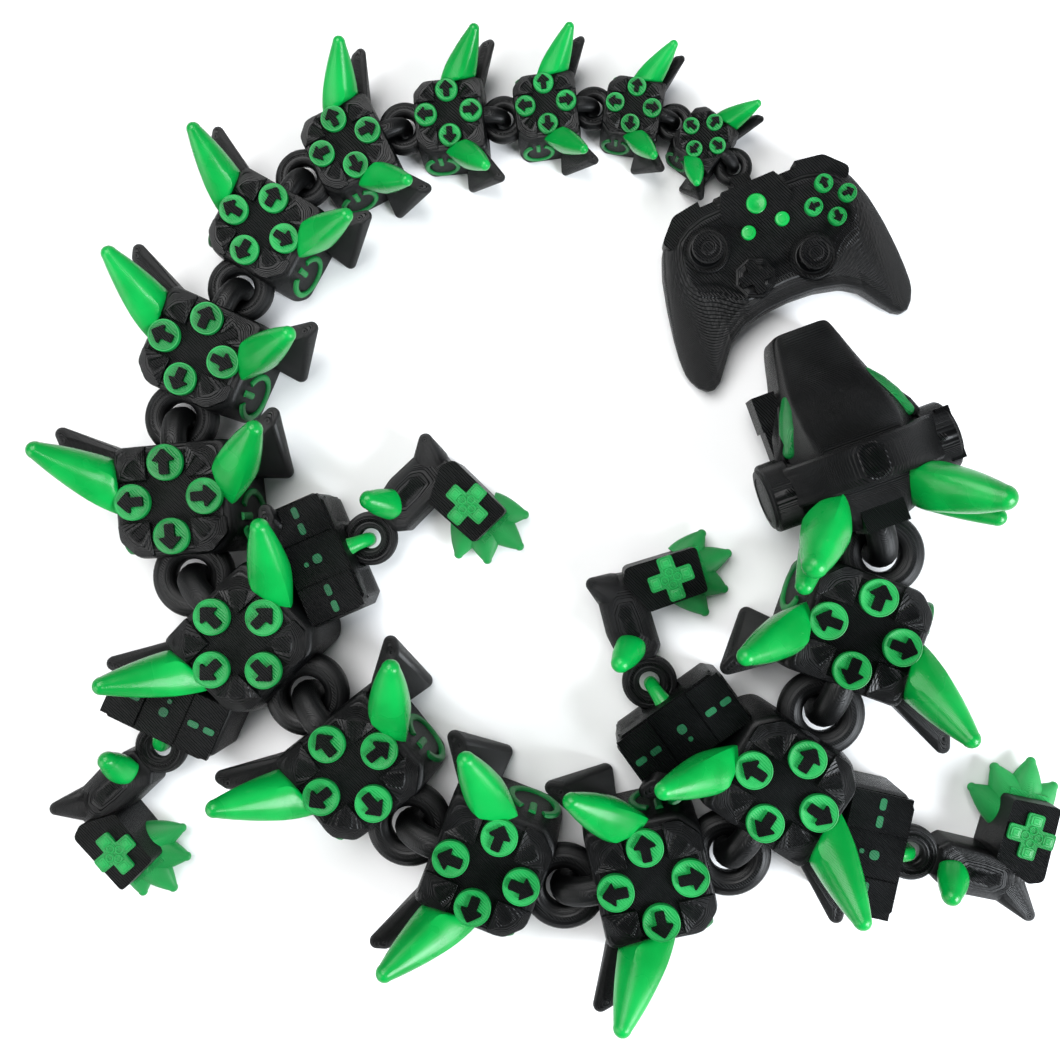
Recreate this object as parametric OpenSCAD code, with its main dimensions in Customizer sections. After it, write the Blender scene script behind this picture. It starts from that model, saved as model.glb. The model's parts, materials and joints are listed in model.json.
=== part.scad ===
// Flexible printed dragon with a game-controller theme: a head, fourteen linked
// vertebrae, four hooked-on legs and a small game controller as the tail end.
// Units are millimetres, +Z is up, and everything rests on the plane z = 0.
// The row origin is the middle of the underside of vertebra 7.

/* [Vertebra] */
// Length of a full-size vertebra block along the spine
block_len = 31; // [28:0.5:34]
// Width of a full-size vertebra block at its top
block_top_w = 31; // [28:0.5:34]
// Width of a full-size vertebra block at its widest, low down
block_low_w = 37; // [33:0.5:40]
// Height of the deck that the buttons stand on
deck_z = 24.8; // [22:0.1:27]
// Height of the four corner pads above the deck
pad_h = 1.2; // [0.6:0.1:2]
// Cut of the block's front corners at its top
corner_cut = 5.5; // [4:0.1:7]
// Half width of the cross-shaped recess between the pads
recess_half = 5.6; // [5:0.1:6.5]
// Distance of each button from the middle of the block
button_out = 9.9; // [9:0.1:11]
// Radius of a button disc
button_r = 4.9; // [4:0.1:5.4]
// Height of a button disc above the deck
button_h = 1.6; // [1:0.1:2.4]
// Outer radius of the ring emblem on each side wall
emblem_r = 6.4; // [6:0.1:6.6]
// Height of the middle of the ring emblem
emblem_z = 9.2; // [8:0.1:11]

/* [Links] */
// Middle radius of every ring and loop, at full size
link_r = 8.3; // [7:0.1:9]
// Half thickness of the flat ring on the front of a vertebra
ring_t = 3.4; // [2.8:0.1:3.8]
// Half thickness of the upright loop on the back of a vertebra
loop_t = 3.8; // [3:0.1:4]
// Height of the middle of a full-size link
link_z = 12.3; // [12:0.1:14]
// From the middle of a ring to the block in front of it
gap_front = 8.5; // [8:0.1:10]
// From the middle of a ring to its own block
gap_own = 6; // [5:0.1:7]
// Room left all round a ring inside the pocket behind a block
pocket_room = 0.8; // [0.5:0.1:1.2]

/* [Pose] */
// Direction that the first vertebra faces, in degrees from +X
first_heading = 70; // [60:1:80]
// Bend from each vertebra to the next, in degrees
bends = [13, 44.5, 33.5, 30.5, -6, 39.5, 29.5, 5.5, 34, 21.5, -2, 17, 27.5]; // degrees
// Size of each vertebra against a full-size one
sizes = [1, 1, 1, 1, 1, 1, 0.99, 0.89, 0.8, 0.7, 0.62, 0.56, 0.51, 0.45]; // of full size
// Bend from the first vertebra to the head
head_bend = 40; // [30:1:45]
// Bend from the last vertebra to the controller
pad_bend = 30; // [20:1:40]
// Swing of each leg at rest: front left, front right, rear left, rear right
leg_bends = [-16, 4, 25, 25]; // degrees

/* [Legs] */
// Distance of a console's middle from the spine's middle plane
console_out = 29.8; // [28:0.1:32]
// How far a console sweeps back, in degrees
console_sweep = 21; // [15:1:25]
// Length, depth and height of a console
console_size = [34, 17, 20]; // mm
// Middle radius of a leg's ring and of its hook
leg_link_r = 5.2; // [4.8:0.1:5.6]
// Height of a leg's ring
leg_link_z = 7.8; // [7.2:0.1:9]
// Height of a leg's forearm box
paw_h = 16; // [14:0.5:18]

/* [Head] */
// Distance from the neck ring's middle to the tip of the snout
snout_x = 64; // [60:0.5:68]
// Height of the crown of the head
crown_z = 34; // [32:0.5:38]
// Outer radius of the headset band
band_r = 24.2; // [22:0.1:26]
// Radius of an ear cup
cup_r = 9.2; // [8:0.1:10]

/* [Controller] */
// Thickness of the controller's body
pad_z = 13; // [11:0.5:15]
// From the tail ring's middle to the front edge of the controller
pad_front = 6.8; // [6.4:0.1:8]
// Radius of a thumb stick's cap
stick_r = 4.3; // [3.8:0.1:4.6]

/* [Hidden] */
$fn = 48;
black = "#26272b";
green = "#1fc24c";
button_green = "#3fb551";
root = 7;
front_legs = 2;
rear_legs = 6;
half = block_len / 2;
tip_fn = 10;

// heading and place of vertebra i, walked from the first one
function heading(i) = i == 1 ? first_heading : heading(i - 1) - bends[i - 2];
function dir(a) = [cos(a), sin(a)];
function has_legs(i) = i == front_legs || i == rear_legs;
function reach_back(i) = half * sizes[i - 1] + gap_front * link_size(i + 1);
function link_size(i) = i > 14 ? sizes[13] : sizes[i - 1];
function walk(i) = i == 1 ? [0, 0]
  : walk(i - 1) - dir(heading(i - 1)) * reach_back(i - 1)
    - dir(heading(i)) * (half + gap_own) * sizes[i - 1];
function place(i) = walk(i) - walk(root);
neck = place(1) + dir(first_heading) * (half + gap_own);
tail = place(14) - dir(heading(14)) * reach_back(14);

// the console frame of a body: middle, normal and pivot, on the left side
console_mid = [-2, console_out];
console_n = dir(90 - console_sweep);
leg_pivot = console_mid + console_n * (8 + leg_link_r);

module at_vertebra(i) {
  translate([place(i)[0], place(i)[1], 0]) rotate([0, 0, heading(i)]) children();
}

module at_head() {
  translate([neck[0], neck[1], 0]) rotate([0, 0, first_heading + head_bend]) children();
}

module at_controller() {
  translate([tail[0], tail[1], 0]) rotate([0, 0, heading(14) - pad_bend]) children();
}

// the controller's own frame, whose origin is 5.6 mm in front of its front edge
module at_pad() {
  at_controller() translate([5.6 - pad_front, 0, 0]) children();
}

// side 1 is the dragon's left, -1 its right
module on_side(side) {
  if (side > 0) children();
  if (side < 0) mirror([0, 1, 0]) children();
}

module at_console(i, side) {
  at_vertebra(i) on_side(side) translate([console_mid[0], console_mid[1], 0])
    rotate([0, 0, -console_sweep]) children();
}

module at_leg(i, side, turn) {
  at_vertebra(i) on_side(side) translate([leg_pivot[0], leg_pivot[1], 0])
    rotate([0, 0, 90 - console_sweep + turn]) children();
}

// a ring with eight flats round its section, lying flat
module flat_ring(r, t) {
  c = t * tan(22.5);
  rotate_extrude() polygon([
    [r - t, -c], [r - c, -t], [r + c, -t], [r + t, -c],
    [r + t, c], [r + c, t], [r - c, t], [r - t, c]
  ]);
}

// plan of a block of width w, with front corners rounded off by c
module block_plan(w, c) {
  polygon([
    [-half, -w / 2 + 2], [-half + 2, -w / 2], [half - c, -w / 2],
    [half - 0.3 * c, -w / 2 + 0.3 * c], [half, -w / 2 + c], [half, w / 2 - c],
    [half - 0.3 * c, w / 2 - 0.3 * c], [half - c, w / 2], [-half + 2, w / 2],
    [-half, w / 2 - 2]
  ]);
}

// block with walls that lean out towards the table
module block() {
  hull() {
    linear_extrude(1.2) block_plan(block_low_w, 0.65 * corner_cut);
    translate([0, 0, deck_z - 1]) linear_extrude(1) block_plan(block_top_w, corner_cut);
  }
}

module corner_pads() {
  translate([0, 0, deck_z - 0.2]) linear_extrude(pad_h + 0.2) difference() {
    block_plan(block_top_w - 0.6, corner_cut);
    square([block_len + 2, 2 * recess_half], center = true);
    square([2 * recess_half, block_top_w + 2], center = true);
  }
}

// upright blade under each spike, which also steadies the block on the table
module fin() {
  hull() {
    translate([-14, 14, 3]) cube([9, 2, 11]);
    translate([-6.4, 25.8, 2.6]) sphere(r = 2.2, $fn = tip_fn);
    translate([-21, 29.6, 22.3]) sphere(r = 2.4, $fn = tip_fn);
  }
}

// horn that sweeps out, back and up from a block's upper edge
module spike() {
  hull() {
    translate([0, 15.8, 0]) rotate([90, 0, 0]) linear_extrude(0.4)
      polygon([[-11.4, 20], [-4.8, 26.4], [3.4, 20.4], [-2.8, 13.6]]);
    translate([-15, 28.8, 37.6]) sphere(r = 2.4, $fn = tip_fn);
  }
}

// solid arrow that points outwards from the middle of the block
module arrow() {
  linear_extrude(0.6) polygon([
    [3.1, 0], [0.2, 2.7], [0.2, 1.1], [-2.9, 1.1], [-2.9, -1.1], [0.2, -1.1], [0.2, -2.7]
  ]);
}

// frame on the left wall: X back along the wall, Y up it, Z outwards, at height z
module on_wall(x, z) {
  lean = atan2((block_low_w - block_top_w) / 2, deck_z - 1.2);
  translate([x, block_low_w / 2 - (z - 1.2) * tan(lean), z]) rotate([90 - lean, 0, 180])
    children();
}

// ring with a gap at its top and a short bar in the gap, standing off the side wall
module emblem() {
  on_wall(5.4, emblem_z) {
    linear_extrude(0.8) difference() {
      circle(r = emblem_r);
      circle(r = emblem_r - 1.8);
      translate([-2.1, 0]) square([4.2, emblem_r + 1]);
    }
    translate([-1, 2, 0]) cube([2, emblem_r - 1.8, 0.8]);
  }
}

// what of a spike stands outside the wall and the fin
module bare_spike() {
  difference() {
    spike();
    fin();
    on_wall(0, 10) translate([-20, -12, -12]) cube([40, 40, 12]);
  }
}

// room for the next ring behind a block, round that ring's own axis
module link_pocket(up) {
  translate([0, 0, link_z - 6]) cylinder(r = link_r + ring_t + pocket_room, h = 6 + up);
}

module rear_loop() {
  translate([link_r, 0, link_z]) rotate([90, 0, 0]) flat_ring(link_r, loop_t);
}

module spine_shell(i) {
  back = -reach_back(i);
  color(black) at_vertebra(i) {
    difference() {
      scale(sizes[i - 1]) union() {
        block();
        corner_pads();
        fin();
        mirror([0, 1, 0]) fin();
      }
      translate([back, 0, 0]) scale(link_size(i + 1)) link_pocket(i > 10 ? 8.2 : 6);
    }
    scale(sizes[i - 1]) front_ring();
    translate([back, 0, 0]) scale(link_size(i + 1)) rear_loop();
    for (a = [0 : 90 : 270]) scale(sizes[i - 1]) rotate([0, 0, a])
      translate([button_out, 0, deck_z + button_h]) arrow();
  }
}

module front_ring() {
  translate([half + gap_own, 0, link_z]) flat_ring(link_r, ring_t);
}

module spine_trim(i) {
  at_vertebra(i) scale(sizes[i - 1]) {
    color(button_green) for (a = [0 : 90 : 270]) rotate([0, 0, a])
      translate([button_out, 0, deck_z]) cylinder(r = button_r, h = button_h);
    for (side = [-1, 1]) on_side(side) {
      color(green) bare_spike();
      if (!has_legs(i)) color(button_green) emblem();
    }
  }
}

// plan of a console, long side along X, outer face at y = 8
module console_plan() {
  l = console_size[0] / 2;
  polygon([
    [-l, 8 - console_size[1]], [l, 8 - console_size[1]], [l, 5.4], [l - 2.6, 8],
    [-l + 2.6, 8], [-l, 5.4]
  ]);
}

// low box beside a vertebra, in three panels, with a pocket for the leg's ring
module console(i, side) {
  color(black) difference() {
    at_console(i, side) difference() {
      linear_extrude(console_size[2]) console_plan();
      translate([-6, -10, console_size[2] - 0.6]) cube([12, 20, 2]);
      for (x = [-6.2, 6.2]) translate([x - 0.3, -10, console_size[2] - 1]) cube([0.6, 20, 2]);
      translate([0, 8 + leg_link_r, leg_link_z - 3.3])
        cylinder(r = leg_link_r + 3.1, h = 6.6);
    }
    at_vertebra(i) on_side(side) {
      block();
      fin();
      spike();
    }
  }
}

// green hook for the leg, and the row of ports on the console's top
module console_hook(i, side) {
  top = console_size[2];
  color(green) at_console(i, side) intersection() {
    translate([0, 8, leg_link_z]) rotate([90, 0, 90]) flat_ring(leg_link_r, 1.9);
    translate([-5, 8, 0]) cube([10, 10, 20]);
  }
  color(button_green) at_console(i, side) {
    translate([0, 0, top - 0.6]) cylinder(r = 1.3, h = 0.35);
    translate([0.4, -3.4, top - 0.6]) cylinder(r = 0.6, h = 0.35);
    for (x = [-13.6, -8.9, 8.9, 13.6]) translate([x, 0, top])
      linear_extrude(0.35) union() {
        translate([-0.7, 0]) circle(r = 1);
        translate([0.7, 0]) circle(r = 1);
        square([1.4, 2], center = true);
      }
  }
}

module leg_body() {
  translate([0, 0, leg_link_z]) flat_ring(leg_link_r, 2.4);
  linear_extrude(13.4) polygon([
    [6, -4], [8.5, -6.4], [19, -7], [30, -6], [30, 1.5], [25, 5.6], [16, 6.6], [9, 5.8], [6, 4]
  ]);
  linear_extrude(paw_h) polygon([
    [18.8, -7.5], [18.8, -22.8], [20, -24], [31, -24], [32.2, -22.8], [32.2, -3], [28.4, -2.4]
  ]);
}

module elbow_horn() {
  hull() {
    translate([27.2, 1.5, 7]) sphere(r = 5, $fn = tip_fn);
    translate([33.4, 8.6, 12.5]) sphere(r = 1.4, $fn = tip_fn);
  }
}

module leg(i, side, turn) {
  color(black) at_leg(i, side, turn) {
    leg_body();
    elbow_horn();
  }
}

// claws, shoulder spike and cross pad of one leg
module claws(i, side, turn) {
  tips = [[33.6, -28.4], [25.5, -33.2], [16.4, -28.8], [11.6, -21.4]];
  roots = [[28.6, -20.5], [26, -22.5], [22, -22], [20.6, -17.5]];
  color(green) at_leg(i, side, turn) difference() {
    union() {
      for (k = [0 : 3]) hull() {
        translate([roots[k][0], roots[k][1], 5.6]) sphere(r = 4.6, $fn = tip_fn);
        translate([tips[k][0], tips[k][1], 4.4]) sphere(r = 1.4, $fn = tip_fn);
      }
      translate([20, -24, 1.2]) cube([10.5, 3, 10]);
    }
    leg_body();
  }
  color(green) at_leg(i, side, turn) difference() {
    hull() {
      translate([12.8, 1.4, 12.2]) sphere(r = 4.3, $fn = tip_fn);
      translate([10, 8.6, 21.4]) sphere(r = 1.7, $fn = tip_fn);
    }
    leg_body();
  }
  color(button_green) at_leg(i, side, turn) translate([25.5, -14.8, paw_h])
    linear_extrude(0.9) union() {
      square([12, 4.2], center = true);
      square([4.2, 12], center = true);
    }
}

module skull() {
  hull() {
    translate([snout_x - 3, -7.6, 0]) cube([2, 15.2, 15.5]);
    translate([snout_x - 2.4, -6.4, 3]) cube([2.4, 12.8, 14]);
    translate([44, -11.6, 0]) cube([2, 23.2, 23]);
  }
  hull() {
    translate([44, -11.6, 0]) cube([2, 23.2, 23]);
    translate([14, -15, 0]) cube([16, 30, 22]);
    translate([28, -16.6, 6]) cube([4, 33.2, 17]);
    translate([22, -10, crown_z - 1]) cube([13, 20, 1]);
  }
  translate([9, -11, 0]) cube([8, 22, 22]);
  translate([8.5, -5.6, 12]) cube([14, 11.2, 17]);
}

module head_shell() {
  color(black) at_head() {
    difference() {
      skull();
      link_pocket(6);
    }
    rear_loop();
  }
}

// band over the crown, an ear cup on each side and a stub microphone
module headset() {
  cup_x = 24;
  color(black) at_head() difference() {
    union() {
      intersection() {
        translate([19.5, 0, crown_z + 4 - band_r]) rotate([0, 90, 0]) difference() {
          cylinder(r = band_r, h = 11);
          translate([0, 0, -1]) cylinder(r = band_r - 3.6, h = 13);
        }
        translate([10, -30, 22]) cube([30, 60, 30]);
      }
      for (side = [-1, 1]) on_side(side) translate([cup_x, 14, 20]) rotate([-90, 0, 0]) {
        cylinder(r = cup_r - 1.4, h = 4);
        translate([0, 0, 3.8]) cylinder(r = cup_r, h = 6.4);
        translate([0, 0, 10.2]) cylinder(r1 = cup_r, r2 = cup_r - 1, h = 1.2);
      }
      translate([30, 13.5, 8]) cube([20, 5, 8]);
    }
    skull();
  }
}

module head_eyes() {
  color(green) at_head() for (side = [-1, 1]) on_side(side) difference() {
    hull() {
      translate([45.4, 10, 21.4]) sphere(r = 2.4, $fn = tip_fn);
      translate([38.5, 13, 22]) sphere(r = 3.6, $fn = 16);
      translate([34.6, 15, 23.4]) sphere(r = 2.6, $fn = tip_fn);
    }
    skull();
  }
}

module head_horns() {
  color(green) difference() {
    at_head() for (side = [-1, 1]) on_side(side) {
      hull() {
        translate([18.6, 16.4, 25]) sphere(r = 2.6, $fn = tip_fn);
        translate([17.8, 8, 31.8]) sphere(r = 2.4, $fn = tip_fn);
        translate([9.6, 7.2, 27.4]) sphere(r = 2.4, $fn = tip_fn);
        translate([11.4, 15, 21.6]) sphere(r = 2.4, $fn = tip_fn);
        translate([4.6, 25.4, 44.6]) sphere(r = 3.2, $fn = tip_fn);
      }
      hull() {
        translate([13.4, 13, 19]) sphere(r = 4.4, $fn = 16);
        translate([0.2, 25.6, 32.4]) sphere(r = 2.3, $fn = tip_fn);
      }
    }
    at_head() skull();
    headset();
  }
}

// outline of the controller, its top edge towards +X, drawn at k of full size
module pad_plan(k) {
  side_pts = [
    [-5.6, 5], [-5.6, 15], [-8.4, 22.6], [-14, 27.4], [-24, 30.4], [-36, 32.6],
    [-46, 33.2], [-51.6, 31], [-53.6, 27.4], [-51.6, 23.6], [-45, 20.4], [-41, 14.6],
    [-39.4, 7]
  ];
  translate([-26, 0]) scale(k) translate([26, 0])
    polygon(concat(side_pts, [for (n = [12 : -1 : 0]) [side_pts[n][0], -side_pts[n][1]]]));
}

// scoop in the controller's front edge, for a fin of the last vertebra to pass
module fin_notch() {
  translate([-pad_front - 1.7, 9, 6.2]) cube([4, 4.8, 9]);
}

module controller_shell() {
  s = link_size(15);
  color(black) difference() {
    at_pad() {
      translate([0, 0, 2]) linear_extrude(pad_z - 4) pad_plan(1);
      linear_extrude(pad_z) pad_plan(0.94);
    }
    at_controller() for (side = [-1, 1]) on_side(side) fin_notch();
  }
  color(black) at_controller() {
    scale(s) translate([0, 0, link_z]) flat_ring(link_r, ring_t);
    translate([-1.4 - pad_front, -2.6, 2.6]) cube([pad_front - 1.8, 5.2, 5.8]);
  }
}

// two thumb sticks in their collars, and the round direction pad
module controller_sticks() {
  color(black) at_pad() translate([0, 0, pad_z]) {
    for (p = [[-18.8, 16.8], [-31.1, -8.7]]) translate([p[0], p[1], 0]) {
      difference() {
        cylinder(r = 6.3, h = 1);
        translate([0, 0, -1]) cylinder(r = 5.2, h = 3);
      }
      cylinder(r = 2.4, h = 2.6);
      translate([0, 0, 2.4]) cylinder(r1 = 3.4, r2 = stick_r, h = 0.8);
      translate([0, 0, 3]) cylinder(r = stick_r, h = 1.2);
    }
    translate([-30.7, 7.6, 0]) {
      cylinder(r = 5.3, h = 0.9);
      translate([0, 0, 0.8]) linear_extrude(1) union() {
        square([8.6, 2.9], center = true);
        square([2.9, 8.6], center = true);
      }
    }
  }
}

function face_button(a) = [-19.1, -18.4] + 4.8 * dir(a);

module controller_buttons() {
  color(button_green) at_pad() translate([0, 0, pad_z]) {
    translate([-12.3, 0, 0]) cylinder(r = 2.7, h = 0.9);
    for (y = [-4.8, 4.8]) translate([-18.8, y, 0]) cylinder(r = 1.9, h = 0.8);
    for (a = [0 : 90 : 270]) translate([face_button(a)[0], face_button(a)[1], 0])
      cylinder(r = 2.4, h = 1.3);
  }
}

module controller_symbols() {
  color(black) at_pad() for (a = [0 : 90 : 270])
    translate([face_button(a)[0], face_button(a)[1], pad_z + 1.3])
      rotate([0, 0, a]) scale(0.52) arrow();
}

head_shell();
headset();
head_eyes();
head_horns();
spine_shell(1);  // spine_01_shell
spine_trim(1);  // spine_01_trim
spine_shell(2);  // spine_02_shell
spine_trim(2);  // spine_02_trim
spine_shell(3);  // spine_03_shell
spine_trim(3);  // spine_03_trim
spine_shell(4);  // spine_04_shell
spine_trim(4);  // spine_04_trim
spine_shell(5);  // spine_05_shell
spine_trim(5);  // spine_05_trim
spine_shell(6);  // spine_06_shell
spine_trim(6);  // spine_06_trim
spine_shell(7);  // spine_07_shell
spine_trim(7);  // spine_07_trim
spine_shell(8);  // spine_08_shell
spine_trim(8);  // spine_08_trim
spine_shell(9);  // spine_09_shell
spine_trim(9);  // spine_09_trim
spine_shell(10);  // spine_10_shell
spine_trim(10);  // spine_10_trim
spine_shell(11);  // spine_11_shell
spine_trim(11);  // spine_11_trim
spine_shell(12);  // spine_12_shell
spine_trim(12);  // spine_12_trim
spine_shell(13);  // spine_13_shell
spine_trim(13);  // spine_13_trim
spine_shell(14);  // spine_14_shell
spine_trim(14);  // spine_14_trim
console(front_legs, 1);  // front_left_console
console_hook(front_legs, 1);  // front_left_hook
console(front_legs, -1);  // front_right_console
console_hook(front_legs, -1);  // front_right_hook
console(rear_legs, 1);  // rear_left_console
console_hook(rear_legs, 1);  // rear_left_hook
console(rear_legs, -1);  // rear_right_console
console_hook(rear_legs, -1);  // rear_right_hook
leg(front_legs, 1, leg_bends[0]);  // front_left_leg
claws(front_legs, 1, leg_bends[0]);  // front_left_claws
leg(front_legs, -1, leg_bends[1]);  // front_right_leg
claws(front_legs, -1, leg_bends[1]);  // front_right_claws
leg(rear_legs, 1, leg_bends[2]);  // rear_left_leg
claws(rear_legs, 1, leg_bends[2]);  // rear_left_claws
leg(rear_legs, -1, leg_bends[3]);  // rear_right_leg
claws(rear_legs, -1, leg_bends[3]);  // rear_right_claws
controller_shell();
controller_sticks();
controller_buttons();
controller_symbols();
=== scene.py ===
import json
import math

import bmesh
import bpy
from mathutils import Matrix, Vector


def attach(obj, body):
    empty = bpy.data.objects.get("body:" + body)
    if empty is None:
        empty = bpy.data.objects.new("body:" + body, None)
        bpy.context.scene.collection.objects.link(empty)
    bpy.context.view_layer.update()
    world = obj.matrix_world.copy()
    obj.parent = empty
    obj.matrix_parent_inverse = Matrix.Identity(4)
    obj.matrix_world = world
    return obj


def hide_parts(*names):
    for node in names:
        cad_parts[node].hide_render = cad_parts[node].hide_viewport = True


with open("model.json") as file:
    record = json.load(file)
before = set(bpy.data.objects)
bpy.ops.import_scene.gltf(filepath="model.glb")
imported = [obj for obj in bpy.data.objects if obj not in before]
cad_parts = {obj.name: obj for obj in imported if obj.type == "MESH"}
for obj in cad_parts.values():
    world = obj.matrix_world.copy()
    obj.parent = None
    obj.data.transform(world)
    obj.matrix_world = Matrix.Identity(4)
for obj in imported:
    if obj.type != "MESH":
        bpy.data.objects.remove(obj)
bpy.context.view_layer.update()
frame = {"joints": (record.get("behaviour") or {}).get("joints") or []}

MM = 0.001
JOINTS = {joint["name"]: joint for joint in frame["joints"]}

# ------------------------------------------------------------------ sizes, in millimetres
RING_R = 8.3
RING_T = 3.4
LOOP_T = 3.8
LINK_Z = 12.3
BLOCK_HALF = 15.5
GAP_OWN = 6.0
GAP_FRONT = 8.5
POCKET_R = RING_R + RING_T + 0.8
DECK_Z = 24.8
BUTTON_OUT = 9.9
RECESS = 5.6
EMBLEM_X, EMBLEM_Z, EMBLEM_R = 6.0, 10.2, 6.9
LEG_RING_R = 5.2
LEG_RING_Z = 7.8
LEG_TURN = {"front_left": -16, "front_right": 4, "rear_left": 25, "rear_right": 25}
CONSOLE_MID = (-2.0, 29.8)
CONSOLE_SWEEP = 21
CONSOLE_TOP = 20.0
PAD_Z = 13.0
PAD_BEND = 30
PAD_BACK = 1.2
BAND_Z = 13.8
FRONT_LEGS, REAR_LEGS = 2, 6
# scoop in the controller's front edge that lets a fin of the last vertebra pass
FIN_NOTCH = (-7.4, -2.0, 8.9, 13.9, 6.1, 15.0)

# a block's level: height, half width, cut of its front corners, how far its ends draw in
BLOCK_LEVELS = [
    (0.0, 18.0, 4.0, 0.5), (0.6, 18.5, 3.6, 0.0), (6.0, 18.1, 3.9, 0.0), (12.0, 17.5, 4.3, 0.0),
    (17.0, 16.9, 4.7, 0.0), (20.5, 16.4, 5.0, 0.1), (22.6, 15.8, 5.3, 0.4), (23.9, 15.1, 5.5, 0.9),
    (24.6, 14.3, 5.6, 1.6), (DECK_Z, 13.4, 5.6, 2.5),
]


# ------------------------------------------------------------------ where things are
def joint_xy(name):
    return Vector(JOINTS[name]["pos_m"][:2]) / MM


def turned(v, quarter):
    """The flat vector v turned by a quarter turn, left for 1 and right for -1."""
    return Vector((-v.y, v.x)) * quarter


def at(spot, ahead, size=1.0):
    """Matrix of a frame that stands at spot, faces the flat vector ahead and is drawn at size."""
    angle = math.atan2(ahead.y, ahead.x)
    return (Matrix.Translation((spot.x, spot.y, 0)) @ Matrix.Rotation(angle, 4, "Z")
            @ Matrix.Scale(size, 4))


def read_spine():
    """Ring centre, size and facing of every link, read from the joints. Ring 15 is the controller's."""
    ring, size, ahead = {}, {1: 1.0}, {}
    for name, joint in JOINTS.items():
        if name.startswith(("bend_", "lift_")) or name == "controller_lift":
            i = 15 if name == "controller_lift" else int(name[-2:])
            size[i] = joint["pos_m"][2] / MM / LINK_Z
            ring[i] = joint_xy(name)
            if not name.startswith("bend_"):
                ahead[i - 1] = turned(Vector(joint["axis"][:2]), -1)
                ring[i] -= ahead[i - 1] * RING_R * size[i]
    head_ahead = turned(Vector(JOINTS["head_lift"]["axis"][:2]), 1)
    ring[1] = joint_xy("head_lift") - head_ahead * RING_R
    for i in range(1, 15):
        ahead[i] = (ring[i] - ring[i + 1]).normalized()
    return ring, size, ahead, head_ahead


RINGS, SIZES, AHEAD, HEAD_AHEAD = read_spine()


def vertebra_frame(i):
    middle = RINGS[i] - AHEAD[i] * (BLOCK_HALF + GAP_OWN) * SIZES[i]
    return at(middle, AHEAD[i], SIZES[i])


def side_frame(side):
    """Mirror for the right-hand side, -1, and nothing for the left, 1."""
    return Matrix.Diagonal((1, side, 1, 1))


def console_frame(i, side):
    return (vertebra_frame(i) @ side_frame(side) @ Matrix.Translation((*CONSOLE_MID, 0))
            @ Matrix.Rotation(math.radians(-CONSOLE_SWEEP), 4, "Z"))


def leg_frame(i, side, turn):
    facing = math.radians(90 + turn)
    return (console_frame(i, side) @ Matrix.Translation((0, 8 + LEG_RING_R, 0))
            @ Matrix.Rotation(facing, 4, "Z"))


# ------------------------------------------------------------------ shape tools
def between(x, table, column):
    """Value of a column of table at x, which runs along the table's first column."""
    for low, high in zip(table, table[1:]):
        if x <= high[0]:
            t = max(0.0, (x - low[0]) / (high[0] - low[0]))
            return low[column] + (high[column] - low[column]) * t
    return table[-1][column]


def ease(low, high, x):
    t = min(1.0, max(0.0, (x - low) / (high - low)))
    return t * t * (3 - 2 * t)


def through(rows, steps):
    """Rows of numbers with steps rows for each gap, on smooth curves through the given ones."""
    out = []
    last = len(rows) - 1
    for k in range(last):
        a, b, c, d = (rows[max(0, k - 1)], rows[k], rows[k + 1], rows[min(last, k + 2)])
        for s in range(steps):
            t = s / steps
            out.append([
                0.5 * (2 * q + (r - p) * t + (2 * p - 5 * q + 4 * r - w) * t * t
                       + (3 * q - p - 3 * r + w) * t ** 3)
                for p, q, r, w in zip(a, b, c, d)
            ])
    out.append(list(rows[-1]))
    return out


def rounded(corners, steps=4):
    """Outline through corners (x, y, radius), each turned on a curve of that many steps."""
    points = []
    for k, (x, y, radius) in enumerate(corners):
        here = Vector((x, y))
        before = Vector(corners[k - 1][:2]) - here
        after = Vector(corners[(k + 1) % len(corners)][:2]) - here
        a, b = before.normalized(), after.normalized()
        cut_back = radius / max(0.2, math.tan(a.angle(b) / 2))
        cut_back = min(cut_back, before.length * 0.48, after.length * 0.48)
        for s in range(steps + 1):
            t = s / steps
            points.append((here + a * cut_back) * (1 - t) ** 2 + here * 2 * t * (1 - t)
                          + (here + b * cut_back) * t ** 2)
    return points


def loft(rings, wrap=False):
    """Skin over rings of equally many points, capped at both ends or joined end to end."""
    bm = bmesh.new()
    rows = [[bm.verts.new(p) for p in ring] for ring in rings]
    n = len(rows[0])
    pairs = list(zip(rows, rows[1:]))
    if wrap:
        pairs.append((rows[-1], rows[0]))
    for low, high in pairs:
        for k in range(n):
            bm.faces.new((low[k], low[(k + 1) % n], high[(k + 1) % n], high[k]))
    if not wrap:
        bm.faces.new(list(reversed(rows[0])))
        bm.faces.new(rows[-1])
    return bm


def soften(bm, width, steps=2, angle=30):
    """Rounds every edge of bm that turns by more than angle."""
    edges = [e for e in bm.edges if e.calc_face_angle(0) > math.radians(angle)]
    bmesh.ops.bevel(bm, geom=edges, offset=width, segments=steps, profile=0.5,
                    affect="EDGES", clamp_overlap=True)
    return bm


def prism(outline, low, high, edge=0.0):
    """Upright solid on an outline of flat points, with its edges rounded by edge."""
    bm = loft([[(p[0], p[1], z) for p in outline] for z in (low, high)])
    return soften(bm, edge, 2, 50) if edge else bm


def bar(x0, x1, y0, y1, z0, z1, edge=0.3):
    return prism([(x0, y0), (x1, y0), (x1, y1), (x0, y1)], z0, z1, edge)


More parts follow.
